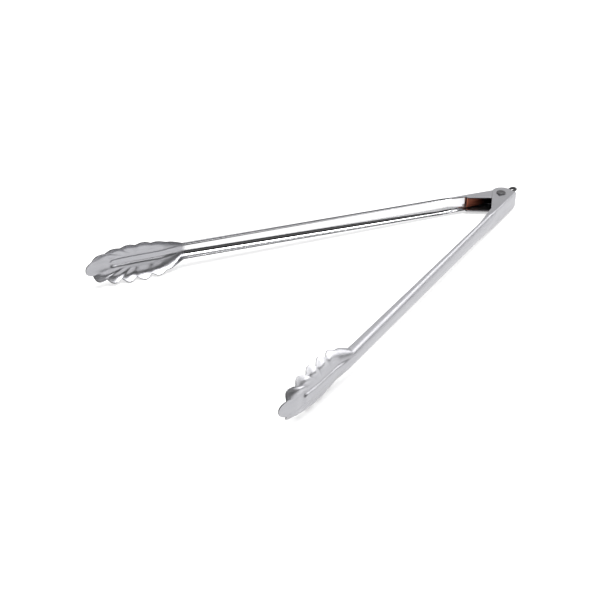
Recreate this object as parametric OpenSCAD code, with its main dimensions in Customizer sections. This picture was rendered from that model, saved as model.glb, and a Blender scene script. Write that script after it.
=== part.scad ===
// Spring loaded kitchen tongs lying on their side, open at rest.
// The hinge rivet stands along Z with the middle of its lower face at the origin,
// and the two jaws point towards +X.
// Each arm is drawn along +X with its outside towards +Y, then turned into place.

/* [Arms] */

// from the pin to the tip of a jaw
reach = 396; // [385:1:410]
// angle between the arms when the spring holds them open
open_angle = 37.5; // [35:0.5:40]
// sheet metal thickness
sheet = 1; // [0.8:0.1:1.2]
// half the width of a handle next to the pin
handle_half = 8.5; // [8.3:0.1:8.8]
// half the width of a handle next to its jaw
neck_half = 7.9; // [7.5:0.1:8.5]
// from the pin to the neck between handle and jaw
neck = 309; // [300:1:314]
// how far a handle's edges stand outside the line from pin to tip, at the pin and at the neck
edge_start = 8; // [7.8:0.1:8.2]
edge_end = 6.8; // [6:0.1:7.5]
// depth of a handle's trough at its hinge end, next to it, and at the neck
web_depth = 3.6; // [3:0.1:4]
trough_start = 3.6; // [3:0.1:4]
trough_end = 7; // [6:0.1:8]

/* [Jaws] */

// half the width of a jaw
jaw_half = 18.5; // [17:0.5:20]
// from the tip back to the widest place of a jaw
nose = 46; // [42:1:50]
// depth of the scoop
scoop = 7.6; // [6:0.5:9]
// how far the scoop's rim stands outside the line from pin to tip, at the tip and at its back
rim_tip = 0.4; // [0.3:0.1:0.8]
rim_back = 1.8; // [1:0.1:2.5]
// how far the notches between lobes reach in, and how far they rise
notch = 2.8; // [2:0.1:3]
// half the width of the lobe at the tip
tip_lobe = 10; // [9:0.5:11]
// width of each lobe along the sides
side_lobe = 12.7; // [12:0.1:13.5]
// how far the lobes bulge outwards between the dish and the rim
bulge = 1.3; // [0.5:0.1:1.6]
// height of the stiffening bead along the middle of a jaw
bead = 1.2; // [0.8:0.1:1.6]

/* [Hinge] */

// radius of the rivet's shaft
pin_r = 3; // [2.5:0.1:3.2]
// radius of the rivet's heads
head_r = 4.4; // [4.2:0.1:5]
// thickness of the rivet's heads
head_h = 0.9; // [0.8:0.1:1.2]
// radius of the rounded end of the outer arm's ears
ear_r = 9.4; // [9:0.1:9.6]
// radius of the inner arm's ears round the pin
inner_ear_r = 8.4; // [8:0.1:8.5]
// free gap between the ears of the two arms
ear_gap = 0.15; // [0.1:0.05:0.2]
// running clearance between the shaft and the inner arm's bores
play = 0.05; // [0.03:0.01:0.08]

/* [Spring and loop] */

// thickness of the flat spring
leaf = 0.6; // [0.5:0.1:0.7]
// half the width of the flat spring
leaf_half = 5.2; // [5:0.1:5.4]
// radius of the spring's bend round the pin, to its outside
leaf_r = 8.8; // [8.4:0.1:8.9]
// from the pin to the ends of the spring
leaf_reach = 31; // [28:1:36]
// radius of the wire of the hanging loop
wire_r = 1.25; // [0.8:0.05:1.3]
// radius of the loop's bend, to the middle of its wire
loop_r = 2.3; // [2.2:0.1:3]

/* [Hidden] */

$fn = 96;

half_open = open_angle / 2;

// height of the arms' middle plane over the rivet's lower face
mid_height = handle_half + head_h;

// where the troughs start behind the pin
back = -10;
inner_back = -6;
// centre of the rounded end of the outer ears
ear_middle = -3.5;
// the ears' free edge rises from a foot near the pin to the end of the ear
ear_foot = [3, -8.4];
inner_ear_foot = [3, -7.8];
ear_end = 33.5;
ear_tip = 4.3;
// the ears reach a little way up into the trough's walls
ear_root = edge_start + 0.5;
// the inner arm's hinge end is narrower, so that it fits between the outer ears
inner_half = handle_half - sheet - ear_gap;
// the narrow end widens to the handle between these two places
widen_from = 36;
widen_to = 60;

// the flat web with sharp folds turns into the round trough between these two places
web_from = 30;
web_to = 50;
web_power = 5;
trough_power = 2.1;
// places across an arm crowd towards its edges, where the sheet bends most
crowding = 0.8;

// middle of the jaw's rounded nose, and the place where its sides start to narrow
jaw_mid = reach - nose;
side_start = jaw_mid - 5;
side_power = 1.8;
// the nose is a little squarer than an ellipse
nose_power = 2.2;
scoop_power = 2.4;
// the trough turns into the scoop between these two places
scoop_from = neck - 3;
scoop_to = neck + 24;
// the last lobes fade out between these distances from the tip
lobes_fade = 62;
lobes_end = 78;
// the flutes of the lobes reach this share of the way in from the rim
flute_start = 0.5;
flute_power = 1.3;
// a lobe's bulge starts and is highest at these shares of the way out, and drops by a share at the rim
bulge_from = 0.35;
bulge_top = 0.75;
bulge_fall = 0.8;
bead_half = 4.6;
bead_slope = 2.2;
bead_end = reach - 26;

// the loop's legs run side by side under the upper ear
loop_at = [-18.5, 4.9];
loop_turn = 170;
loop_leg = 9.5;

// grid of an arm: places across, places along the handle and along the jaw
across = 24;
handle_steps = 15;
jaw_steps = 36;
steps = handle_steps + jaw_steps;
row = across + 1;
layer = (steps + 1) * row;

function clamp01(x) = min(1, max(0, x));
function ease(x) = let(c = clamp01(x)) c * c * (3 - 2 * c);
function mix(a, b, share) = a + (b - a) * share;

// ---- plan of the arm, seen along the hinge's swing: [along, across] ----

function handle_width(s, hinge_half) =
    mix(hinge_half, mix(handle_half, neck_half, clamp01(s / neck)),
        ease((s - widen_from) / (widen_to - widen_from)));

function side_width(s) =
    mix(jaw_half, neck_half, pow(clamp01((side_start - s) / (side_start - neck)), side_power));

// outline of the jaw: turn 0 is the tip, 90 the widest place, 180 the neck
function outline(turn) =
    let(a = abs(turn))
    let(along = a < 90 ? jaw_mid + nose * pow(cos(a), 2 / nose_power)
                       : mix(jaw_mid, neck, (a - 90) / 90))
    let(out = a < 90 ? jaw_half * pow(sin(a), 2 / nose_power) : side_width(along))
    [along, sign(turn) * out];

// rows of the jaw bend from straight at the neck to the outline's nose at the tip
function jaw_plan(share, q) =
    let(turn = mix(180, 60, share))
    let(side = outline(turn))
    mix([side[0], side[1] * q], outline(turn * q), share * share);

// 0 on the jaw's middle line and 1 on its rim
function rim_share(p) =
    p[0] > jaw_mid
        ? pow(pow((p[0] - jaw_mid) / nose, nose_power) + pow(abs(p[1]) / jaw_half, nose_power),
              1 / nose_power)
        : abs(p[1]) / side_width(p[0]);

// the place on the rim that lies outwards of a place in the jaw
function rim_place(p) =
    p[0] > jaw_mid ? [jaw_mid, 0] + (p - [jaw_mid, 0]) / max(rim_share(p), 0.001)
                   : [p[0], side_width(p[0])];

// how far from the tip the rim lies, outwards of a place in the jaw
function tip_gap(p) = norm([reach, 0] - [rim_place(p)[0], abs(rim_place(p)[1])]);

// 1 in the middle of a lobe and 0 in the notches on both sides of it
function lobe_share(p) =
    let(gap = tip_gap(p))
    gap < tip_lobe ? cos(90 * gap / tip_lobe) : abs(sin(180 * (gap - tip_lobe) / side_lobe));

// the lobes fade out towards the neck
function lobe_fade(p) = clamp01((lobes_end - tip_gap(p)) / (lobes_end - lobes_fade));

function notch_share(p) =
    (1 - lobe_share(p)) * lobe_fade(p)
    * pow(clamp01((rim_share(p) - flute_start) / (1 - flute_start)), flute_power);

function bulge_height(p) =
    bulge * lobe_share(p) * lobe_fade(p)
    * ease((rim_share(p) - bulge_from) / (bulge_top - bulge_from))
    * (1 - bulge_fall * ease((rim_share(p) - bulge_top) / (1 - bulge_top)));

function outwards(p) =
    let(d = [max(0, p[0] - jaw_mid) / (nose * nose), p[1] / (jaw_half * jaw_half)])
    norm(d) > 0 ? d / norm(d) : [0, 0];

// ---- height of the outer face over the line from pin to tip ----

function web_share(s) = ease((s - web_from) / (web_to - web_from));

function trough_height(s, q) =
    let(power = mix(web_power, trough_power, web_share(s)))
    mix(edge_start, edge_end, clamp01(s / neck))
    + mix(web_depth, mix(trough_start, trough_end, clamp01(s / neck)), web_share(s))
      * pow(max(0, 1 - pow(abs(q), power)), 1 / power);

function scoop_height(p) =
    mix(rim_tip, rim_back, clamp01((reach - p[0]) / (reach - scoop_to)))
    + scoop * (1 - pow(rim_share(p), scoop_power));

function bead_height(p) =
    let(beside = norm([max(0, p[0] - bead_end), p[1]]))
    bead * ease((bead_half - beside) / bead_slope) * ease((p[0] - neck) / 20);

function handle_point(i, q, hinge_half, hinge_back) =
    let(s = mix(hinge_back, neck, i / handle_steps))
    [s, trough_height(s, q), q * handle_width(s, hinge_half)];

function jaw_point(i, q) =
    let(p = jaw_plan(i / jaw_steps, q))
    let(height = mix(trough_height(p[0], q), scoop_height(p),
                     ease((p[0] - scoop_from) / (scoop_to - scoop_from))))
    let(n = notch * notch_share(p))
    let(moved = p - outwards(p) * n)
    [moved[0], height + bead_height(p) + bulge_height(p) + n, moved[1]];

function outer_point(i, j, hinge_half, hinge_back) =
    let(turn = 180 * j / across - 90)
    let(q = sign(turn) * pow(abs(sin(turn)), crowding))
    i <= handle_steps ? handle_point(i, q, hinge_half, hinge_back) : jaw_point(i - handle_steps, q);

// ---- the sheet: an outer face, an inner face one thickness in, and edges ----

function face_normal(grid, i, j) =
    let(along = grid[min(i + 1, steps)][j] - grid[max(i - 1, 0)][j])
    let(over = grid[i][min(j + 1, across)] - grid[i][max(j - 1, 0)])
    let(n = cross(over, along))
    n / norm(n);

module arm_sheet(hinge_half, hinge_back) {
    grid = [for (i = [0:steps]) [for (j = [0:across]) outer_point(i, j, hinge_half, hinge_back)]];
    outer_face = [for (i = [0:steps]) for (j = [0:across]) grid[i][j]];
    inner_face = [for (i = [0:steps]) for (j = [0:across])
                     grid[i][j] - sheet * face_normal(grid, i, j)];
    outer_tri = [for (i = [0:steps - 1]) for (j = [0:across - 1])
                     let(a = i * row + j)
                     each [[a, a + row, a + row + 1], [a, a + row + 1, a + 1]]];
    inner_tri = [for (t = outer_tri) [t[0] + layer, t[2] + layer, t[1] + layer]];
    low_edge = [for (i = [0:steps - 1])
                    let(a = i * row)
                    each [[a, a + layer, a + row], [a + layer, a + row + layer, a + row]]];
    high_edge = [for (i = [0:steps - 1])
                    let(a = i * row + across)
                    each [[a, a + row, a + layer], [a + layer, a + row, a + row + layer]]];
    back_edge = [for (j = [0:across - 1])
                    each [[j, j + 1, j + layer], [j + 1, j + 1 + layer, j + layer]]];
    nose_edge = [for (j = [0:across - 1])
                    let(a = steps * row + j)
                    each [[a, a + layer, a + 1], [a + 1, a + layer, a + 1 + layer]]];
    polyhedron(concat(outer_face, inner_face),
               concat(outer_tri, inner_tri, low_edge, high_edge, back_edge, nose_edge),
               convexity = 10);
}

// the pair of flat ears that continue the trough's walls at the hinge end
module ears(hinge_half, hinge_back, round_at, round_r, foot) {
    for (side = [-1, 1])
        translate([0, 0, side * (hinge_half - sheet / 2) - sheet / 2])
            linear_extrude(sheet) {
                polygon([[hinge_back, ear_root], [ear_end, ear_root], [ear_end, ear_tip],
                         foot, [round_at, 0]]);
                translate([round_at, 0])
                    circle(round_r);
            }
}

module bore(r) {
    cylinder(h = 4 * handle_half, r = r, center = true);
}

module outer_arm() {
    color("silver")
        translate([0, 0, mid_height])
        rotate([0, 0, half_open])
            difference() {
                union() {
                    arm_sheet(handle_half, back);
                    ears(handle_half, back, ear_middle, ear_r, ear_foot);
                }
                bore(pin_r + 0.01);
            }
}

module inner_arm() {
    color("gainsboro")
        translate([0, 0, mid_height])
        rotate([0, 0, -half_open])
            mirror([0, 1, 0])
                difference() {
                    union() {
                        arm_sheet(inner_half, inner_back);
                        ears(inner_half, inner_back, 0, inner_ear_r, inner_ear_foot);
                    }
                    bore(pin_r + play);
                }
}

// shaft and both heads are one piece of metal
module rivet() {
    color("dimgray") {
        cylinder(h = 2 * mid_height, r = pin_r);
        for (foot = [0, 2 * mid_height - head_h])
            translate([0, 0, foot])
                cylinder(h = head_h, r = head_r);
    }
}

// one strip: two straight legs that press the arms apart, joined by a bend round the pin
module leaf_spring() {
    color("saddlebrown") translate([0, 0, mid_height]) {
        rotate([0, 0, half_open + 90])
            rotate_extrude(angle = 180 - open_angle)
                translate([leaf_r - leaf, -leaf_half])
                    square([leaf, 2 * leaf_half]);
        for (side = [-1, 1])
            rotate([0, 0, side * half_open])
                translate([(leaf_reach - leaf) / 2, side * (leaf_r - leaf / 2), 0])
                    cube([leaf_reach + leaf, leaf, 2 * leaf_half], center = true);
    }
}

// hanging loop of round wire, fixed under the outer arm's upper ear
module wire_loop() {
    color("black")
        translate([0, 0, mid_height + handle_half - sheet - wire_r])
        rotate([0, 0, half_open])
        translate(loop_at)
        rotate([0, 0, loop_turn]) {
            rotate([0, 0, -90])
                rotate_extrude(angle = 180)
                    translate([loop_r, 0])
                        circle(wire_r);
            for (side = [-1, 1])
                translate([0, side * loop_r, 0])
                    rotate([0, -90, 0])
                        cylinder(h = loop_leg, r = wire_r);
        }
}

outer_arm();
inner_arm();
rivet();
leaf_spring();
wire_loop();
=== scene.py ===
import math

import bmesh
import bpy
import numpy as np
from mathutils import Matrix, Vector


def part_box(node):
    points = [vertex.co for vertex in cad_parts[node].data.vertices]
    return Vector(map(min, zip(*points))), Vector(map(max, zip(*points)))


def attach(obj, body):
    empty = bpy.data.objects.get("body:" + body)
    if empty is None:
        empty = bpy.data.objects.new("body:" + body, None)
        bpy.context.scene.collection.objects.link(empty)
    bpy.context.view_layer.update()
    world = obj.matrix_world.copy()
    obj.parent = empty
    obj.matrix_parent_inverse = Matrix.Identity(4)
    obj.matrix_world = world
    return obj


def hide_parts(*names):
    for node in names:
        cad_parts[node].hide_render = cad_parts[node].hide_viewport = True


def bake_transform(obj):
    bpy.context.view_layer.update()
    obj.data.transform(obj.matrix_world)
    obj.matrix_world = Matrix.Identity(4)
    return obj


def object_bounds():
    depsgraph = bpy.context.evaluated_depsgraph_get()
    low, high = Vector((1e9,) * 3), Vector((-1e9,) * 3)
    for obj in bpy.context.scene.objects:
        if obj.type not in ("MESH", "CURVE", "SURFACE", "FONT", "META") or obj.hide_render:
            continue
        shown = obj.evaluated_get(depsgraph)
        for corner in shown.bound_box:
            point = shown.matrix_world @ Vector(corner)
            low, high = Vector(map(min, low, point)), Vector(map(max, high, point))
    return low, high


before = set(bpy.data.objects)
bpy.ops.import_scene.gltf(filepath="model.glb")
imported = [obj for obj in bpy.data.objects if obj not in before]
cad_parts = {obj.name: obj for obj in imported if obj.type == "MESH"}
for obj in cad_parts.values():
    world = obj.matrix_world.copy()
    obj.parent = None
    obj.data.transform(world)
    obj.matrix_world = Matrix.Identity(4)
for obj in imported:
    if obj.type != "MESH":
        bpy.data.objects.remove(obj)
cad_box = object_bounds()

# Spring loaded kitchen tongs, held open by their spring and lying on their side.
# Sizes are in millimetres in the design's own terms, and meshes are made in metres.
# Each arm is drawn along s, which is x in the jaw's functions, with its outside towards +v and z along
# the rivet.

MM = 0.001
# the least values that are divided by
TINY, LEAST_LENGTH, LEAST_SHARE = 1e-12, 1e-9, 0.001

# ---- sizes taken from the frame ----

rivet_low, rivet_high = (np.array(corner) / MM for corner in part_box("rivet"))
leaf_low, leaf_high = (np.array(corner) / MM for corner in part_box("leaf_spring"))
MID_HEIGHT = (rivet_low[2] + rivet_high[2]) / 2
HEAD_R = rivet_high[0]
LEAF_HALF = (leaf_high[2] - leaf_low[2]) / 2

# ---- driving sizes of the design ----

# the arms: reach from the pin to the tip, angle between them at rest, sheet, handle and jaw
REACH = 396
OPEN_ANGLE = 37.5
HALF_OPEN = math.radians(OPEN_ANGLE / 2)
SHEET = 1
HANDLE_HALF = 8.5
NECK_HALF = 7.9
NECK = 309
JAW_HALF = 18.5
NOSE = 46
# at the hinge and at the neck: how far outside the pin's line the trough's edges are, and its depth
EDGE_START, EDGE_END = 8, 6.8
TROUGH_START, TROUGH_END = 3.6, 7
# depth of the flat web between the ears
WEB_DEPTH = 3.6
# the jaw's dish: its depth, its rim's height at the tip and at the back, and its lobes, bead and bulges
SCOOP = 7.6
RIM_TIP, RIM_BACK = 0.4, 1.8
NOTCH = 2.8
TIP_LOBE = 10
SIDE_LOBE = 12.7
BEAD = 1.2
BULGE = 1.27
# the pin, its heads, the room round it in the inner and the outer arm, and the room between the ears
PIN_R = 3
HEAD_H = MID_HEIGHT - HANDLE_HALF
PLAY, TIGHT = 0.05, 0.01
EAR_GAP = 0.15
INNER_HALF = HANDLE_HALF - SHEET - EAR_GAP
# the spring strip: thickness, outer radius of its bend, and length of its legs
LEAF = 0.6
LEAF_R = 8.8
LEAF_REACH = 31
# painted shade: black is painted on the spring round the pin, out to between these two distances
PIN_SHADE_FROM, PIN_SHADE_TO = 13, 24
# the hanging loop: the wire, radius of its bend, length of its legs, and its place in the outer arm
WIRE_R = 1.25
LOOP_R = 2.3
LOOP_LEG = 9.5
LOOP_AT = (-18.5, 4.9)
LOOP_TURN = math.radians(170)

# ---- shape of an arm ----

WIDEN_FROM, WIDEN_TO = 36, 60
WEB_FROM, WEB_TO = 30, 50
WEB_POWER, TROUGH_POWER = 5, 2.1
JAW_MID = REACH - NOSE
SIDE_START = JAW_MID - 5
SIDE_POWER = 1.8
NOSE_POWER = 2.2
SCOOP_POWER = 2.4
SCOOP_FROM, SCOOP_TO = NECK - 3, NECK + 24
# distances from the tip between which the lobes fade out along the sides
LOBES_FADE, LOBES_END = 62, 78
# the flutes start at this share of the way to the rim
FLUTE_START, FLUTE_POWER = 0.5, 1.3
BULGE_FROM, BULGE_TOP, BULGE_FALL = 0.35, 0.75, 0.8
BEAD_HALF = 4.6
BEAD_SLOPE = 2.2
BEAD_RISE = 20
BEAD_END = REACH - 26
# how much the ridges between lobes are rounded over
RIDGE_SOFTNESS = 0.12
# each arm: half its width at the hinge, back of its trough, centre and radius of its ears' round end,
# radius of its bores, and how high the ears' free edge starts beyond the end of the ears
OUTER = {
    "half": HANDLE_HALF,
    "back": -10,
    "round_at": -3.5,
    "round_r": 9.4,
    "bore": PIN_R + TIGHT,
    "taper": 5.0,
}
INNER = {
    "half": INNER_HALF,
    "back": -6,
    "round_at": 0,
    "round_r": 8.4,
    "bore": PIN_R + PLAY,
    "taper": 6.4,
}
EAR_END, EAR_TIP = 33.5, 4.3
TAPER_END = 67
# between these places the inner face changes from the trough's own to one sheet under the outer face
SHIFTED_FROM, SHIFTED_TO = NECK - 6, NECK + 6

# ---- finish and painted light of an arm ----

# painted highlight on the bulges of the side lobes: strength, shares of the way to the rim where it starts
# and is full, and how soon it is full beside a notch; it fades out before the tip
LOBE_HIGHLIGHT, LOBE_HIGHLIGHT_FROM, LOBE_HIGHLIGHT_TO, LOBE_HIGHLIGHT_WIDTH = 0.3, 0.55, 0.75, 1.6
LOBE_HIGHLIGHT_END, LOBE_HIGHLIGHT_FADE = REACH - 14, 8
# the trough's polish comes in just before the ears' end and goes out just before the neck
POLISH_FROM, POLISH_RISE = EAR_END - 4, 4
POLISH_TO, POLISH_FALL = NECK - 5, 5
# flat coordinates are in decimetres, and the inner face's lie this far beside the outer face's; they stop
# being measured round the trough over this length beyond the neck
FLAT_UNIT = 100
INNER_FLAT = 60
FLAT_FADE = 20

# ---- resolution ----

# places across half an arm, and the steps along it; the jaw's fine steps start before the neck
HALF_ACROSS = 40
ACROSS = 2 * HALF_ACROSS
HINGE_STEP, HANDLE_STEP, JAW_STEP = 1.5, 4, 0.6
FINE_FROM = NECK - 16
# a row's places crowd towards the trough's edges in the handle, and are even in the jaw
CROWDING = 0.8
EVEN_FROM, EVEN_TO = NECK - 20, NECK + 10
NOSE_SAMPLES = 2001
EAR_RINGS = 5
EAR_ARC, EAR_LINE, EAR_BACK = 60, 20, 4
WALL_STEPS = 3
# the sheet's cut edges are rounded this far in, in this many steps
EDGE_ROUND = 0.25
EDGE_STEPS = 6


def mix(a, b, share):
    return a + (b - a) * share


def clamp01(x):
    return np.clip(x, 0, 1)


def ease(x):
    c = clamp01(x)
    return c * c * (3 - 2 * c)


def handle_width(s, hinge_half):
    plain = mix(HANDLE_HALF, NECK_HALF, clamp01(s / NECK))
    return mix(hinge_half, plain, ease((s - WIDEN_FROM) / (WIDEN_TO - WIDEN_FROM)))


def side_width(s):
    return mix(JAW_HALF, NECK_HALF, clamp01((SIDE_START - s) / (SIDE_START - NECK)) ** SIDE_POWER)


def trough(s, q, inset):
    """Height of the trough's outer face, or of its inner face where inset is the sheet's thickness."""
    web_share = ease((s - WEB_FROM) / (WEB_TO - WEB_FROM))
    power = mix(WEB_POWER, TROUGH_POWER, web_share)
    depth = mix(WEB_DEPTH, mix(TROUGH_START, TROUGH_END, clamp01(s / NECK)), web_share) - inset
    round_share = np.maximum(0, 1 - np.abs(q) ** power) ** (1 / power)
    return mix(EDGE_START, EDGE_END, clamp01(s / NECK)) + depth * round_share


def rim_share(x, z):
    """0 on the jaw's middle line and 1 on its rim."""
    nose = (np.maximum(0, x - JAW_MID) / NOSE) ** NOSE_POWER + (np.abs(z) / JAW_HALF) ** NOSE_POWER
    return np.where(x > JAW_MID, nose ** (1 / NOSE_POWER), np.abs(z) / side_width(x))


def lobe_wave(x, z):
    """How far across a lobe a place is, 0 in the notches and 1 in its middle, and how much it counts."""
    out = 1 / np.maximum(rim_share(x, z), LEAST_SHARE)
    rim_x = np.where(x > JAW_MID, JAW_MID + (x - JAW_MID) * out, x)
    rim_z = np.where(x > JAW_MID, np.abs(z) * out, side_width(x))
    tip_gap = np.hypot(REACH - rim_x, rim_z)
    wave = np.where(
        tip_gap < TIP_LOBE,
        np.cos(math.pi / 2 * np.minimum(tip_gap / TIP_LOBE, 1)),
        np.sin(math.pi * (tip_gap - TIP_LOBE) / SIDE_LOBE),
    )
    lobe = np.sqrt(wave ** 2 + RIDGE_SOFTNESS ** 2) - RIDGE_SOFTNESS * (1 - np.abs(wave))
    return np.minimum(1, lobe), clamp01((LOBES_END - tip_gap) / (LOBES_END - LOBES_FADE))


def notch_share(x, z):
    """1 at a notch between two lobes and 0 in the middle of a lobe."""
    lobe, fade = lobe_wave(x, z)
    reach_in = clamp01((rim_share(x, z) - FLUTE_START) / (1 - FLUTE_START)) ** FLUTE_POWER
    return (1 - lobe) * fade * reach_in


def bulge_height(x, z):
    """Each lobe bulges outwards between the dish and its rim."""
    lobe, fade = lobe_wave(x, z)
    share = rim_share(x, z)
    rise = ease((share - BULGE_FROM) / (BULGE_TOP - BULGE_FROM))
    fall = 1 - BULGE_FALL * ease((share - BULGE_TOP) / (1 - BULGE_TOP))
    return BULGE * lobe * fade * rise * fall


def lobe_highlight_share(x, z):
    """Above 0 where a highlight is painted on the bulges of the side lobes, lighter than the rest of the
    outside.
    """
    lobe, fade = lobe_wave(x, z)
    out = ease((rim_share(x, z) - LOBE_HIGHLIGHT_FROM) / (LOBE_HIGHLIGHT_TO - LOBE_HIGHLIGHT_FROM))
    beside_tip = ease((LOBE_HIGHLIGHT_END - x) / LOBE_HIGHLIGHT_FADE)
    return LOBE_HIGHLIGHT * fade * out * beside_tip * ease(LOBE_HIGHLIGHT_WIDTH * lobe)


def scoop_height(x, z):
    rim = mix(RIM_TIP, RIM_BACK, clamp01((REACH - x) / (REACH - SCOOP_TO)))
    return rim + SCOOP * (1 - rim_share(x, z) ** SCOOP_POWER)


def bead_height(x, z):
    beside = np.hypot(np.maximum(0, x - BEAD_END), z)
    return BEAD * ease((BEAD_HALF - beside) / BEAD_SLOPE) * ease((x - NECK) / BEAD_RISE)


def jaw_points(x, z, trough_height):
    """Places of the jaw's outer face, with the flutes between lobes pulled up and in."""
    height = mix(trough_height, scoop_height(x, z), ease((x - SCOOP_FROM) / (SCOOP_TO - SCOOP_FROM)))
    pull = NOTCH * notch_share(x, z)
    out_x = np.maximum(0, x - JAW_MID) / NOSE ** 2
    out_z = z / JAW_HALF ** 2
    length = np.maximum(np.hypot(out_x, out_z), LEAST_LENGTH)
    return np.stack(
        [
            x - out_x / length * pull,
            height + bead_height(x, z) + bulge_height(x, z) + pull,
            z - out_z / length * pull,
        ],
        -1,
    )


def row_places():
    """Places of the rows along an arm, from the ears' end to where the jaw's nose starts."""
    handle = np.arange(EAR_END, FINE_FROM, HANDLE_STEP)
    jaw = np.linspace(handle[-1] + HANDLE_STEP, JAW_MID, round((JAW_MID - FINE_FROM) / JAW_STEP))
    return np.concatenate([handle, jaw])


def hinge_places(back):
    return np.linspace(back, EAR_END, round((EAR_END - back) / HINGE_STEP))[:-1]


def grid_places(s, hinge_half):
    """Outer and inner face of an arm's handle and jaw sides, one row for each place along it."""
    turn = np.linspace(-1, 1, ACROSS + 1)[None, :]
    s = s[:, None] + 0 * turn
    crowded = np.sign(turn) * np.abs(np.sin(turn * math.pi / 2)) ** CROWDING
    q = mix(crowded, turn, ease((s - EVEN_FROM) / (EVEN_TO - EVEN_FROM)))
    z = q * np.where(s > NECK, side_width(s), handle_width(s, hinge_half))
    outer = jaw_points(s, z, trough(s, q, 0))
    inner = np.stack([s, trough(s, q, SHEET), q * (handle_width(s, hinge_half) - SHEET)], -1)
    return outer, inner


def nose_places():
    """Outer face of the jaw's nose: rays from its middle to the rim, from the +z side to the -z side."""
    fine = np.linspace(math.pi / 2, -math.pi / 2, NOSE_SAMPLES)
    rim_x = NOSE * np.cos(fine) ** (2 / NOSE_POWER)
    rim_z = JAW_HALF * np.sign(fine) * np.abs(np.sin(fine)) ** (2 / NOSE_POWER)
    length = np.concatenate([[0], np.cumsum(np.hypot(np.diff(rim_x), np.diff(rim_z)))])
    rays = 2 * round(length[-1] / JAW_STEP / 2)
    even = np.linspace(0, length[-1], rays + 1)[1:-1]
    x = np.interp(even, length, rim_x)[:, None]
    z = np.interp(even, length, rim_z)[:, None]
    out = (np.arange(1, HALF_ACROSS + 1) / HALF_ACROSS)[None, :]
    return jaw_points(JAW_MID + x * out, z * out, 0)


def ear_outline(arm):
    """Free outline of an ear, from under the start of the wall round the pin to the web's back."""
    centre = np.array([arm["round_at"], 0])
    radius = arm["round_r"]

    def tangent(point, side):
        away = point - centre
        return math.atan2(away[1], away[0]) + side * math.acos(radius / np.linalg.norm(away))

    wall_end = np.array([EAR_END, arm["taper"]])
    tip = np.array([EAR_END, EAR_TIP])
    corner = np.array([arm["back"], EDGE_START])
    arc = np.linspace(tangent(tip, -1), tangent(corner, 1) - 2 * math.pi, EAR_ARC)
    around = centre + radius * np.stack([np.cos(arc), np.sin(arc)], -1)
    drop = [mix(wall_end, tip, 0.5)]
    line = [mix(tip, around[0], k / EAR_LINE) for k in range(EAR_LINE)]
    back_line = [mix(around[-1], corner, k / EAR_BACK) for k in range(1, EAR_BACK)]
    return np.array(drop + line + list(around) + back_line)


def vertex_normals(points, faces):
    """Area-weighted normals of a mesh of quads and triangles."""
    total = np.zeros_like(points)
    for size in (3, 4):
        chosen = np.array([f for f in faces if len(f) == size])
        corners = points[chosen]
        across = corners[:, size // 2] - corners[:, 0]
        other = corners[:, -1] - corners[:, 1]
        normal = np.cross(across, other)
        for k in range(size):
            np.add.at(total, chosen[:, k], normal)
    return total / np.maximum(np.linalg.norm(total, axis=1, keepdims=True), TINY)


def ring_steps(count):
    """Each index round a closed ring, with the next one."""
    return [(k, (k + 1) % count) for k in range(count)]


class Sheet:
    """An arm's outer face while it is made: points, their partners on the inner face or None, and faces."""

    def __init__(self, arm):
        """Starts with the handle and the sides of the jaw."""
        self.arm = arm
        places = np.concatenate([hinge_places(arm["back"]), row_places()])
        outer, inner = grid_places(places, arm["half"])
        self.rows, self.columns = outer.shape[:2]
        self.ear_row, self.taper_row = np.searchsorted(places, (EAR_END, TAPER_END)).tolist()
        self.points = list(outer.reshape(-1, 3))
        self.partners = list(inner.reshape(-1, 3))
        self.faces = []
        for i in range(self.rows - 1):
            for j in range(self.columns - 1):
                near = (self.at(i, j), self.at(i, j + 1))
                far = (self.at(i + 1, j + 1), self.at(i + 1, j))
                self.faces.append(near + far)

    def at(self, row, column):
        return row * self.columns + column

    def edge(self, side, row):
        """The row's last point on the +z side or its first one on the -z side."""
        return self.at(row, self.columns - 1 if side > 0 else 0)

    def add_beside(self, side, s, v, width):
        """Adds a point this far out to the +z or the -z side."""
        self.points.append(np.array([s, v, side * width]))
        self.partners.append(np.array([s, v, side * (width - SHEET)]))
        return len(self.points) - 1

    def add_face(self, side, corners):
        """Adds a face given as it is on the +z side."""
        self.faces.append(corners if side > 0 else corners[::-1])


def add_nose(sheet):
    """Adds the jaw's nose as rays from the middle of the last row, and returns its rim."""
    fan = nose_places()
    rays = len(fan)
    first = len(sheet.points)
    last_row = sheet.rows - 1
    sheet.points += list(fan.reshape(-1, 3))
    sheet.partners += [None] * (rays * HALF_ACROSS)

    def ray(a, k):
        """The k-th point out along ray a, where the first and last rays are halves of the last row."""
        if k == 0 or a == 0:
            return sheet.at(last_row, HALF_ACROSS + k)
        if a == rays + 1:
            return sheet.at(last_row, HALF_ACROSS - k)
        return first + (a - 1) * HALF_ACROSS + k - 1

    for a in range(rays + 1):
        sheet.faces.append((ray(a, 0), ray(a, 1), ray(a + 1, 1)))
        for k in range(1, HALF_ACROSS):
            sheet.faces.append((ray(a, k), ray(a, k + 1), ray(a + 1, k + 1), ray(a + 1, k)))
    return [ray(a, HALF_ACROSS) for a in range(1, rays + 1)]


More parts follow.
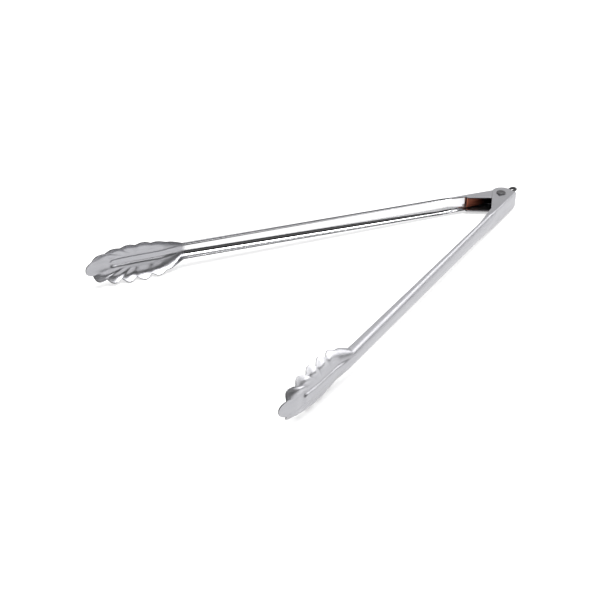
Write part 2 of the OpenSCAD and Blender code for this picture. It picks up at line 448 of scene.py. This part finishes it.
def add_wall(sheet, side):
    """Adds the low wall beyond the ear, as rows of points down from the trough's edge, and returns them."""
    arm = sheet.arm
    wall = []
    for row in range(sheet.ear_row, sheet.taper_row):
        top = sheet.edge(side, row)
        s, v, _ = sheet.points[top]
        low = mix(arm["taper"], v, ease((s - EAR_END) / (TAPER_END + HANDLE_STEP - EAR_END)))
        width = handle_width(s, arm["half"])
        steps = [top]
        for k in range(1, WALL_STEPS + 1):
            steps.append(sheet.add_beside(side, s, mix(v, low, k / WALL_STEPS), width))
        wall.append(steps)
    for a, b in zip(wall, wall[1:]):
        for k in range(WALL_STEPS):
            sheet.add_face(side, (a[k], a[k + 1], b[k + 1], b[k]))
    # it runs out to nothing at the first row beyond its end
    end = sheet.edge(side, sheet.taper_row)
    for k in range(WALL_STEPS):
        sheet.add_face(side, (wall[-1][k], wall[-1][k + 1], end))
    return wall


def add_ear(sheet, side, wall_start):
    """Adds the ear as flat rings between its outline and its bore. Returns its free edge and the bore."""
    arm = sheet.arm
    free = [sheet.add_beside(side, s, v, arm["half"]) for s, v in ear_outline(arm)]
    outline = [sheet.edge(side, row) for row in range(sheet.ear_row)] + wall_start + free
    rings = []
    for ring in range(EAR_RINGS):
        made = []
        for vertex in outline:
            s, v, _ = sheet.points[vertex]
            scale = mix(arm["bore"] / math.hypot(s, v), 1, ring / EAR_RINGS)
            made.append(sheet.add_beside(side, s * scale, v * scale, arm["half"]))
        rings.append(made)
    rings.append(outline)
    for low_ring, high_ring in zip(rings, rings[1:]):
        for k, n in ring_steps(len(outline)):
            sheet.add_face(side, (low_ring[k], low_ring[n], high_ring[n], high_ring[k]))
    return free, rings[0]


def add_side(sheet, side):
    """Adds one side's ear and wall. Returns the free edge from the web's back to the jaw, and the bore."""
    wall = add_wall(sheet, side)
    free, bore = add_ear(sheet, side, wall[0])
    beyond = [sheet.edge(side, row) for row in range(sheet.taper_row, sheet.rows)]
    return free[::-1] + [steps[-1] for steps in wall] + beyond, bore


def inner_face(sheet, outer):
    """The partners in the handle, and places one sheet's thickness under the outer face in the jaw."""
    shifted = outer - SHEET * vertex_normals(outer, sheet.faces)
    partners = [under if partner is None else partner for under, partner in zip(shifted, sheet.partners)]
    in_jaw = ease((outer[:, 0] - SHIFTED_FROM) / (SHIFTED_TO - SHIFTED_FROM))[:, None]
    return mix(np.array(partners), shifted, in_jaw)


def rounded_edge(outer, inner, rim):
    """Pulls both faces in at the rim, and returns the rows of points that round the edge between them."""
    top, low = outer[rim], inner[rim]
    ahead = np.roll((top + low) / 2, -1, axis=0) - np.roll((top + low) / 2, 1, axis=0)
    ahead /= np.linalg.norm(ahead, axis=1, keepdims=True)
    thick = (top - low) / 2
    outward = np.cross(ahead, thick / np.linalg.norm(thick, axis=1, keepdims=True))
    outward /= np.linalg.norm(outward, axis=1, keepdims=True)
    outer[rim] -= EDGE_ROUND * outward
    inner[rim] -= EDGE_ROUND * outward
    middle = (outer[rim] + inner[rim]) / 2
    rows = []
    for step in range(1, EDGE_STEPS):
        turn = math.pi / 2 - math.pi * step / EDGE_STEPS
        rows.append(middle + EDGE_ROUND * math.cos(turn) * outward + math.sin(turn) * thick)
    return rows


def flat_places(outer):
    """Places on the flattened sheet: along the arm, and across it measured round the trough."""
    down = np.maximum(0, TROUGH_START + EDGE_START - outer[:, 1])
    in_handle = 1 - ease((outer[:, 0] - NECK) / FLAT_FADE)
    across = outer[:, 2] + np.sign(outer[:, 2]) * down * in_handle
    return np.stack([outer[:, 0], across], -1)


def polish_share(x):
    """1 in the handle's trough, which is polished, and 0 at the hinge and in the jaw."""
    return ease((x - POLISH_FROM) / POLISH_RISE) * (1 - ease((x - POLISH_TO) / POLISH_FALL))


def arm_mesh(arm):
    """Points, faces, flat coordinates, and the finish and painted light values of one arm as a closed sheet
    with rounded edges.
    """
    sheet = Sheet(arm)
    nose_rim = add_nose(sheet)
    upper_edge, upper_bore = add_side(sheet, 1)
    lower_edge, lower_bore = add_side(sheet, -1)
    back_rim = [sheet.at(0, j) for j in range(sheet.columns)]
    rim = back_rim + upper_edge + nose_rim + lower_edge[::-1]
    outer = np.array(sheet.points)
    inner = inner_face(sheet, outer)
    edge_rows = rounded_edge(outer, inner, rim)

    count = len(outer)
    width = len(rim)
    faces = sheet.faces + [tuple(count + k for k in reversed(face)) for face in sheet.faces]
    ladder = [rim]
    for row in range(len(edge_rows)):
        ladder.append([2 * count + row * width + k for k in range(width)])
    ladder.append([count + k for k in rim])
    for a, b in zip(ladder, ladder[1:]):
        for k, n in ring_steps(width):
            faces.append((a[k], a[n], b[n], b[k]))
    for bore in (upper_bore, lower_bore):
        for k, n in ring_steps(len(bore)):
            faces.append((bore[k], bore[n], bore[n] + count, bore[k] + count))

    def on_all(on_outer, on_inner, on_edge):
        """Values at the points of the outer face, of the inner face and of the cut edge's rows."""
        return np.concatenate([on_outer, on_inner] + [on_edge[rim]] * len(edge_rows))

    flat = flat_places(outer)
    polish = polish_share(outer[:, 0])
    none = np.zeros(count)
    finishes_and_painted_light = {
        "polish": on_all(none, polish, 0.5 * polish),
        # painted shade: the cut edge is painted dark
        "edge_shade": on_all(none, none, none + 1),
        # painted highlight on the side lobes' bulges, on the outer face only
        "lobe_highlight": on_all(lobe_highlight_share(outer[:, 0], outer[:, 2]), none, none),
    }
    points = np.concatenate([outer, inner] + edge_rows)
    return points, faces, on_all(flat, flat + [0, INNER_FLAT], flat), finishes_and_painted_light


def placed(points, outer):
    """Turns an arm's points into place, in the frame's metres."""
    side = 1 if outer else -1
    s, v, z = points[:, 0], side * points[:, 1], points[:, 2]
    turn = side * HALF_OPEN
    x = s * math.cos(turn) - v * math.sin(turn)
    y = s * math.sin(turn) + v * math.cos(turn)
    return np.stack([x, y, z + MID_HEIGHT], -1) * MM


def make_piece(name, points, faces, flat, values, material):
    """A smooth mesh object with flat coordinates and named values at its points."""
    mesh = bpy.data.meshes.new(name)
    mesh.from_pydata([tuple(p) for p in points], [], faces)
    mesh.update()
    layer = mesh.uv_layers.new(name="flat")
    corner = np.zeros(len(mesh.loops), int)
    mesh.loops.foreach_get("vertex_index", corner)
    layer.data.foreach_set("uv", (np.asarray(flat)[corner] / FLAT_UNIT).astype(np.float32).ravel())
    for key, numbers in values.items():
        attribute = mesh.attributes.new(key, "FLOAT", "POINT")
        attribute.data.foreach_set("value", np.asarray(numbers, np.float32))
    mesh.polygons.foreach_set("use_smooth", [True] * len(mesh.polygons))
    mesh.materials.append(material)
    piece = bpy.data.objects.new(name, mesh)
    bpy.context.scene.collection.objects.link(piece)
    return piece


def face_outwards(piece):
    """Makes every face look out of a closed mesh."""
    made = bmesh.new()
    made.from_mesh(piece.data)
    bmesh.ops.recalc_face_normals(made, faces=made.faces)
    made.to_mesh(piece.data)
    made.free()


# ---- materials ----

# sockets of a mix node: its share, then both inputs and the result for numbers and for colours
MIX_SHARE = 0
NUMBER_A, NUMBER_B, NUMBER_OUT = 2, 3, 0
COLOUR_A, COLOUR_B, COLOUR_OUT = 6, 7, 2
# most of a noise texture's values lie between these
NOISE_LOW, NOISE_HIGH = 0.3, 0.7


class Nodes:
    """Shorthand for building a node material."""

    def __init__(self, name):
        self.material = bpy.data.materials.new(name)
        self.material.use_nodes = True
        self.tree = self.material.node_tree
        self.shader = self.tree.nodes["Principled BSDF"]

    def add(self, kind, **settings):
        node = self.tree.nodes.new(kind)
        for key, value in settings.items():
            setattr(node, key, value)
        return node

    def link(self, source, target):
        self.tree.links.new(source, target)

    def feed(self, value, socket):
        """Sets a socket to a number, or links another node's output to it."""
        if isinstance(value, (int, float)):
            socket.default_value = value
        else:
            self.link(value, socket)

    def flat_noise(self, scale, detail, roughness=0.6):
        """Noise over the flat coordinates, with scale waves per decimetre along and across."""
        uv = self.add("ShaderNodeUVMap", uv_map="flat")
        mapping = self.add("ShaderNodeMapping")
        mapping.inputs["Scale"].default_value = (scale[0], scale[1], 1)
        noise = self.add("ShaderNodeTexNoise")
        noise.inputs["Scale"].default_value = 1
        noise.inputs["Detail"].default_value = detail
        noise.inputs["Roughness"].default_value = roughness
        self.link(uv.outputs["UV"], mapping.inputs["Vector"])
        self.link(mapping.outputs["Vector"], noise.inputs["Vector"])
        return noise.outputs["Fac"]

    def spread(self, source, low, high):
        """Maps noise to a range."""
        node = self.add("ShaderNodeMapRange")
        node.inputs["From Min"].default_value = NOISE_LOW
        node.inputs["From Max"].default_value = NOISE_HIGH
        node.inputs["To Min"].default_value = low
        node.inputs["To Max"].default_value = high
        self.link(source, node.inputs["Value"])
        return node.outputs["Result"]

    def plus(self, a, b):
        node = self.add("ShaderNodeMath", operation="ADD")
        self.link(a, node.inputs[0])
        self.link(b, node.inputs[1])
        return node.outputs["Value"]

    def value(self, name):
        return self.add("ShaderNodeAttribute", attribute_name=name).outputs["Fac"]

    def blend(self, share, a, b):
        """A number that goes from a to b with share."""
        node = self.add("ShaderNodeMix", data_type="FLOAT")
        self.link(share, node.inputs[MIX_SHARE])
        self.feed(a, node.inputs[NUMBER_A])
        self.feed(b, node.inputs[NUMBER_B])
        return node.outputs[NUMBER_OUT]

    def tint(self, share, a, b):
        """A colour that goes from a to b with share."""
        node = self.add("ShaderNodeMix", data_type="RGBA")
        node.inputs[COLOUR_A].default_value = (*a, 1)
        node.inputs[COLOUR_B].default_value = (*b, 1)
        self.link(share, node.inputs[MIX_SHARE])
        return node.outputs[COLOUR_OUT]

    def layer(self, share, below, colour):
        """Lays a plain colour over another colour."""
        node = self.add("ShaderNodeMix", data_type="RGBA")
        node.inputs[COLOUR_B].default_value = (*colour, 1)
        self.link(below, node.inputs[COLOUR_A])
        self.link(share, node.inputs[MIX_SHARE])
        return node.outputs[COLOUR_OUT]

    def colour(self, source):
        self.link(source, self.shader.inputs["Base Color"])

    def roughness(self, source):
        self.link(source, self.shader.inputs["Roughness"])

    def bump(self, height, strength, distance):
        node = self.add("ShaderNodeBump")
        node.inputs["Distance"].default_value = distance
        self.feed(strength, node.inputs["Strength"])
        self.link(height, node.inputs["Height"])
        self.link(node.outputs["Normal"], self.shader.inputs["Normal"])


def arm_steel():
    """Stainless sheet: satin with fine lengthwise brushing, and polished in the handles' troughs."""
    satin_dark, satin_light = (0.35, 0.35, 0.37), (0.43, 0.43, 0.45)
    # the lobes' light colour is a painted highlight, and the cut edge's near black is painted shade
    lobe_highlight, polished, cut = (0.75, 0.75, 0.77), (0.78, 0.78, 0.79), (0.09, 0.09, 0.095)
    n = Nodes("arm_steel")
    n.shader.inputs["Metallic"].default_value = 1
    streaks = n.flat_noise((2.5, 520), 4, 0.7)
    clouds = n.flat_noise((9, 22), 3)
    polish = n.value("polish")
    satin = n.plus(n.spread(streaks, -0.045, 0.045), n.spread(clouds, 0.3, 0.38))
    mirror = n.plus(n.spread(streaks, 0.0, 0.02), n.spread(clouds, 0.05, 0.09))
    n.roughness(n.blend(polish, satin, mirror))
    tone = n.tint(n.spread(streaks, 0, 1), satin_dark, satin_light)
    # painted highlight: lighter colour on the bulges of the side lobes
    tone = n.layer(n.value("lobe_highlight"), tone, lobe_highlight)
    tone = n.layer(polish, tone, polished)
    # painted shade: the cut edge's near-black colour
    n.colour(n.layer(n.value("edge_shade"), tone, cut))
    n.bump(streaks, n.blend(polish, 0.22, 0.0), 0.00003)
    return n.material


def rivet_steel():
    """Dark dull steel with fine spots."""
    dark, light = (0.07, 0.07, 0.075), (0.13, 0.13, 0.135)
    n = Nodes("rivet_steel")
    n.shader.inputs["Metallic"].default_value = 1
    spots = n.flat_noise((60, 60), 4)
    rings = n.flat_noise((4, 300), 2)
    n.colour(n.tint(n.spread(spots, 0, 1), dark, light))
    n.roughness(n.spread(rings, 0.28, 0.42))
    n.bump(spots, 0.3, 0.00004)
    return n.material


def spring_steel():
    """Tempered steel: brown on the legs, with painted shade in black round the pin."""
    dark_brown, light_brown, black = (0.2, 0.045, 0.022), (0.36, 0.12, 0.07), (0.006, 0.006, 0.007)
    n = Nodes("spring_steel")
    n.shader.inputs["Metallic"].default_value = 0.85
    scale = n.flat_noise((7, 30), 5)
    grain = n.flat_noise((12, 260), 3)
    brown = n.tint(n.spread(scale, 0, 1), dark_brown, light_brown)
    # painted shade: black laid over the brown round the pin
    n.colour(n.layer(n.value("pin_shade"), brown, black))
    n.roughness(n.spread(grain, 0.3, 0.5))
    n.bump(grain, 0.3, 0.00004)
    return n.material


def black_wire():
    """Wire with a black coat that has a fine orange peel."""
    darker, lighter = (0.006, 0.006, 0.007), (0.014, 0.014, 0.016)
    n = Nodes("black_wire")
    n.shader.inputs["Specular IOR Level"].default_value = 0.3
    peel = n.flat_noise((70, 70), 3)
    n.colour(n.tint(n.spread(peel, 0, 1), darker, lighter))
    n.roughness(n.spread(peel, 0.4, 0.55))
    n.bump(peel, 0.3, 0.00005)
    return n.material


def floor_paint():
    """Plain pale paint that glows a little, so that the floor is nearly white."""
    darker, lighter = (0.54, 0.54, 0.54), (0.56, 0.56, 0.56)
    n = Nodes("floor_paint")
    wash = n.flat_noise((0.5, 0.5), 4)
    n.colour(n.tint(n.spread(wash, 0, 1), darker, lighter))
    n.shader.inputs["Emission Color"].default_value = (1, 1, 1, 1)
    n.shader.inputs["Emission Strength"].default_value = 0.45
    n.roughness(n.spread(wash, 0.75, 0.85))
    return n.material


# ---- pieces ----


def make_arm(name, arm, outer, body, material):
    points, faces, flat, finishes_and_painted_light = arm_mesh(arm)
    piece = make_piece(name + "_sheet", placed(points, outer), faces, flat, finishes_and_painted_light, material)
    face_outwards(piece)
    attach(piece, body)
    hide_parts(name)


def swept(rows):
    """Points and faces of rows of equal length joined by quads, with a cap at each end."""
    points = np.concatenate(rows)
    width = len(rows[0])
    faces = []
    for row in range(len(rows) - 1):
        a = row * width
        b = a + width
        for k, n in ring_steps(width):
            faces.append((a + k, a + n, b + n, b + k))
    last = len(points) - width
    faces.append(tuple(range(width)))
    faces.append(tuple(reversed(range(last, last + width))))
    return points, faces


def head_outline():
    """Radius and height over the ear of a rivet head, from the middle of its dish round to the shaft."""
    dish_r, dish, edge = 1.9, 0.35, 0.45
    corner = 1.4 * edge
    corner_steps = 8
    outline = [(dish_r * out, HEAD_H - dish * down) for out, down in ((0, 1), (0.5, 0.93), (0.85, 0.45))]
    outline += [(dish_r + 0.15, HEAD_H - 0.03), (dish_r + 0.5, HEAD_H)]
    for k in range(corner_steps + 1):
        turn = math.pi / 2 * (1 - k / corner_steps)
        outline.append((HEAD_R - corner + corner * math.cos(turn), HEAD_H - edge + edge * math.sin(turn)))
    outline += [(HEAD_R, HEAD_H - edge - 0.15), (HEAD_R - 0.12, 0.0), (PIN_R + 0.1, 0.0), (PIN_R, -0.1)]
    return outline


def make_rivet(material):
    """A shaft with a head at each end: rounded at its edge and dished in the middle."""
    segments = 96
    smallest_r = 0.01
    flat_round = 20
    profile = [(r, HANDLE_HALF + h) for r, h in head_outline()]
    profile += [(r, -z) for r, z in reversed(profile)]
    turn = np.linspace(0, 2 * math.pi, segments, endpoint=False)
    rows = []
    for r, z in profile:
        radius = max(r, smallest_r)
        rows.append(np.stack([radius * np.cos(turn), radius * np.sin(turn), z + MID_HEIGHT + 0 * turn], -1))
    points, faces = swept(rows)
    share_round = np.arctan2(points[:, 1], points[:, 0]) / (2 * math.pi)
    flat = np.stack([share_round * flat_round, np.hypot(points[:, 0], points[:, 1])], -1)
    piece = make_piece("rivet_turned", points * MM, faces, flat, {}, material)
    face_outwards(piece)
    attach(piece, "outer_arm_body")
    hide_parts("rivet")


def leaf_profile():
    """Distance out from the strip's middle and height of the points round its section."""
    edge = 0.2
    corner_steps = 3
    profile = []
    for corner_z, corner_out in ((1, 1), (-1, 1), (-1, -1), (1, -1)):
        for k in range(corner_steps + 1):
            turn = math.pi / 2 * k / corner_steps
            if corner_z * corner_out > 0:
                turn = math.pi / 2 - turn
            z = corner_z * (LEAF_HALF - edge + edge * math.sin(turn))
            out = corner_out * (LEAF / 2 - edge + edge * math.cos(turn))
            profile.append((out, z))
    return profile


def make_leaf(material):
    """One flat strip: two legs that press the arms apart, joined by a bend round the pin."""
    leg_rows, bend_rows = 23, 49
    middle_r = LEAF_R - LEAF / 2
    normal = (-math.sin(HALF_OPEN), math.cos(HALF_OPEN))
    leg = []
    for s in np.linspace(LEAF_REACH, 0, leg_rows + 1)[:-1]:
        x = s * math.cos(HALF_OPEN) - middle_r * math.sin(HALF_OPEN)
        y = s * math.sin(HALF_OPEN) + middle_r * math.cos(HALF_OPEN)
        leg.append(((x, y), normal))
    bend = []
    for turn in np.linspace(math.pi / 2 + HALF_OPEN, 3 * math.pi / 2 - HALF_OPEN, bend_rows):
        out = (math.cos(turn), math.sin(turn))
        bend.append(((middle_r * out[0], middle_r * out[1]), out))
    other_leg = [((x, -y), (nx, -ny)) for (x, y), (nx, ny) in reversed(leg)]

    profile = leaf_profile()
    rows = []
    for (x, y), (nx, ny) in leg + bend + other_leg:
        rows.append(np.array([(x + nx * out, y + ny * out, z + MID_HEIGHT) for out, z in profile]))
    points, faces = swept(rows)
    along = np.repeat(np.arange(len(rows)), len(profile)) * (LEAF_REACH / leg_rows)
    flat = np.stack([along, points[:, 2]], -1)
    from_pin = np.hypot(points[:, 0], points[:, 1])
    # painted shade: black that fades in towards the pin
    pin_shade = {"pin_shade": ease((PIN_SHADE_TO - from_pin) / (PIN_SHADE_TO - PIN_SHADE_FROM))}
    piece = make_piece("leaf_strip", points * MM, faces, flat, pin_shade, material)
    face_outwards(piece)
    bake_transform(piece)
    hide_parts("leaf_spring")


def loop_path():
    """Places along the wire's middle line, each with the direction out of the bend."""
    leg_steps, bend_steps = 8, 32
    path = [(-LOOP_LEG * (1 - k / leg_steps), -LOOP_R, (0.0, -1.0)) for k in range(leg_steps)]
    for k in range(bend_steps + 1):
        turn = -math.pi / 2 + math.pi * k / bend_steps
        path.append((LOOP_R * math.cos(turn), LOOP_R * math.sin(turn), (math.cos(turn), math.sin(turn))))
    path += [(-LOOP_LEG * k / leg_steps, LOOP_R, (0.0, 1.0)) for k in range(1, leg_steps + 1)]
    return path


def make_loop(material):
    """A hanging loop of coated round wire, fixed under the outer arm's upper ear."""
    sides = 20
    # the wire's radius is a little smaller than the CAD's, and smaller still at its two ends
    wire_share, end_share = 0.99, 0.8
    height = HANDLE_HALF - SHEET - WIRE_R
    cos_turn, sin_turn = math.cos(LOOP_TURN), math.sin(LOOP_TURN)
    around = np.linspace(0, 2 * math.pi, sides, endpoint=False)
    path = loop_path()
    rows = []
    for k, (x, y, (out_x, out_y)) in enumerate(path):
        radius = WIRE_R * (end_share if k in (0, len(path) - 1) else wire_share)
        wire_x = x + out_x * radius * np.cos(around)
        wire_y = y + out_y * radius * np.cos(around)
        s = LOOP_AT[0] + wire_x * cos_turn - wire_y * sin_turn
        v = LOOP_AT[1] + wire_x * sin_turn + wire_y * cos_turn
        rows.append(np.stack([s, v, height + radius * np.sin(around)], -1))
    points, faces = swept(rows)
    flat = points[:, :2]
    piece = make_piece("wire_loop_bent", placed(points, True), faces, flat, {}, material)
    face_outwards(piece)
    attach(piece, "outer_arm_body")
    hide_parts("wire_loop")


# ---- studio ----

# the walls: pairs of the sine of the height over the horizon and the brightness there
BACK_WALL = [(0.0, 0.6), (0.1, 0.6), (0.3, 0.8), (0.44, 0.7)]
BACK_WALL += [(0.5, 0.35), (0.56, 0.4), (0.66, 0.9), (1.0, 0.7)]
FRONT_WALL = [(0.0, 0.5), (0.03, 0.02), (0.22, 0.03), (0.38, 0.12)]
FRONT_WALL += [(0.54, 0.02), (0.8, 0.03), (1.0, 0.5)]
# directions whose y lies between these change from the back wall to the front one
FRONT_FROM, FRONT_TO = 0.25, 0.45
WALL_STRENGTH = 1.3

# the floor slopes a little, so that it touches the rivet's lower face and the lowest lobes of both jaws
FLOOR_HINGE = rivet_low[0]
FLOOR_DROP = -cad_box[0][2] / MM
FLOOR_JAW = 331
FLOOR_HALF = 6000

CAMERA_PLACE = (0.7889, 0.6328, 0.4908)
CAMERA_FORWARD = (-0.55829, -0.65222, -0.51276)
CAMERA_UP = (-0.32277, -0.39861, 0.85845)
LENS, SENSOR = 69.83, 36
NEAREST, FARTHEST = 0.05, 50


def make_floor(material):
    slope = FLOOR_DROP / (FLOOR_JAW - FLOOR_HINGE)
    corners = [(FLOOR_HALF * x, FLOOR_HALF * y) for x, y in ((-1, -1), (1, -1), (1, 1), (-1, 1))]
    points = [(x, y, -(x - FLOOR_HINGE) * slope) for x, y in corners]
    floor = make_piece("floor", np.array(points) * MM, [(0, 1, 2, 3)], corners, {}, material)


def soft_box(name, place, aim, size, power):
    """A rectangular area light at a place, turned towards a point."""
    data = bpy.data.lights.new(name, "AREA")
    data.shape = "RECTANGLE"
    data.size, data.size_y = size
    data.energy = power
    light = bpy.data.objects.new(name, data)
    light.location = place
    light.rotation_euler = (Vector(aim) - Vector(place)).to_track_quat("-Z", "Y").to_euler()
    bpy.context.scene.collection.objects.link(light)


def studio_walls():
    """Soft light from the studio's walls: a bright one behind the tongs and a dark one facing them."""
    world = bpy.data.worlds.new("studio")
    world.use_nodes = True
    tree = world.node_tree
    background = tree.nodes["Background"]
    place = tree.nodes.new("ShaderNodeTexCoord")
    split = tree.nodes.new("ShaderNodeSeparateXYZ")
    tree.links.new(place.outputs["Generated"], split.inputs["Vector"])

    def ramp(stops):
        node = tree.nodes.new("ShaderNodeValToRGB")
        node.color_ramp.elements[0].position = stops[0][0]
        node.color_ramp.elements[1].position = stops[-1][0]
        for position, _ in stops[1:-1]:
            node.color_ramp.elements.new(position)
        for element, (_, level) in zip(node.color_ramp.elements, stops):
            element.color = (level, level, level, 1)
        tree.links.new(split.outputs["Z"], node.inputs["Fac"])
        return node.outputs["Color"]

    side = tree.nodes.new("ShaderNodeMapRange")
    side.inputs["From Min"].default_value = FRONT_FROM
    side.inputs["From Max"].default_value = FRONT_TO
    tree.links.new(split.outputs["Y"], side.inputs["Value"])
    both = tree.nodes.new("ShaderNodeMix")
    both.data_type = "RGBA"
    tree.links.new(side.outputs["Result"], both.inputs[MIX_SHARE])
    tree.links.new(ramp(BACK_WALL), both.inputs[COLOUR_A])
    tree.links.new(ramp(FRONT_WALL), both.inputs[COLOUR_B])
    tree.links.new(both.outputs[COLOUR_OUT], background.inputs["Color"])
    background.inputs["Strength"].default_value = WALL_STRENGTH
    bpy.context.scene.world = world


def make_camera():
    """Looks down on the tongs from beyond the jaws, on the outer arm's side."""
    forward = Vector(CAMERA_FORWARD)
    right = forward.cross(Vector(CAMERA_UP)).normalized()
    true_up = right.cross(forward).normalized()
    turn = Matrix((right, true_up, -forward)).transposed()
    data = bpy.data.cameras.new("camera")
    data.sensor_width = SENSOR
    data.lens = LENS
    data.clip_start = NEAREST
    data.clip_end = FARTHEST
    camera = bpy.data.objects.new("camera", data)
    camera.matrix_world = Matrix.Translation(Vector(CAMERA_PLACE)) @ turn.to_4x4()
    bpy.context.scene.collection.objects.link(camera)
    bpy.context.scene.camera = camera


steel = arm_steel()
make_arm("outer_arm", OUTER, True, "outer_arm_body", steel)
make_arm("inner_arm", INNER, False, "inner_arm_body", steel)
make_rivet(rivet_steel())
make_leaf(spring_steel())
make_loop(black_wire())
make_floor(floor_paint())
studio_walls()
soft_box("top_light", place=(0.1, 0.5, 2.2), aim=(0.15, 0, 0), size=(1.6, 1.6), power=60)
soft_box("side_light", place=(-1.35, 0.8, 0.85), aim=(0.3, 0.1, 0), size=(1.5, 0.6), power=9)
make_camera()
bpy.context.scene.view_settings.view_transform = "Standard"
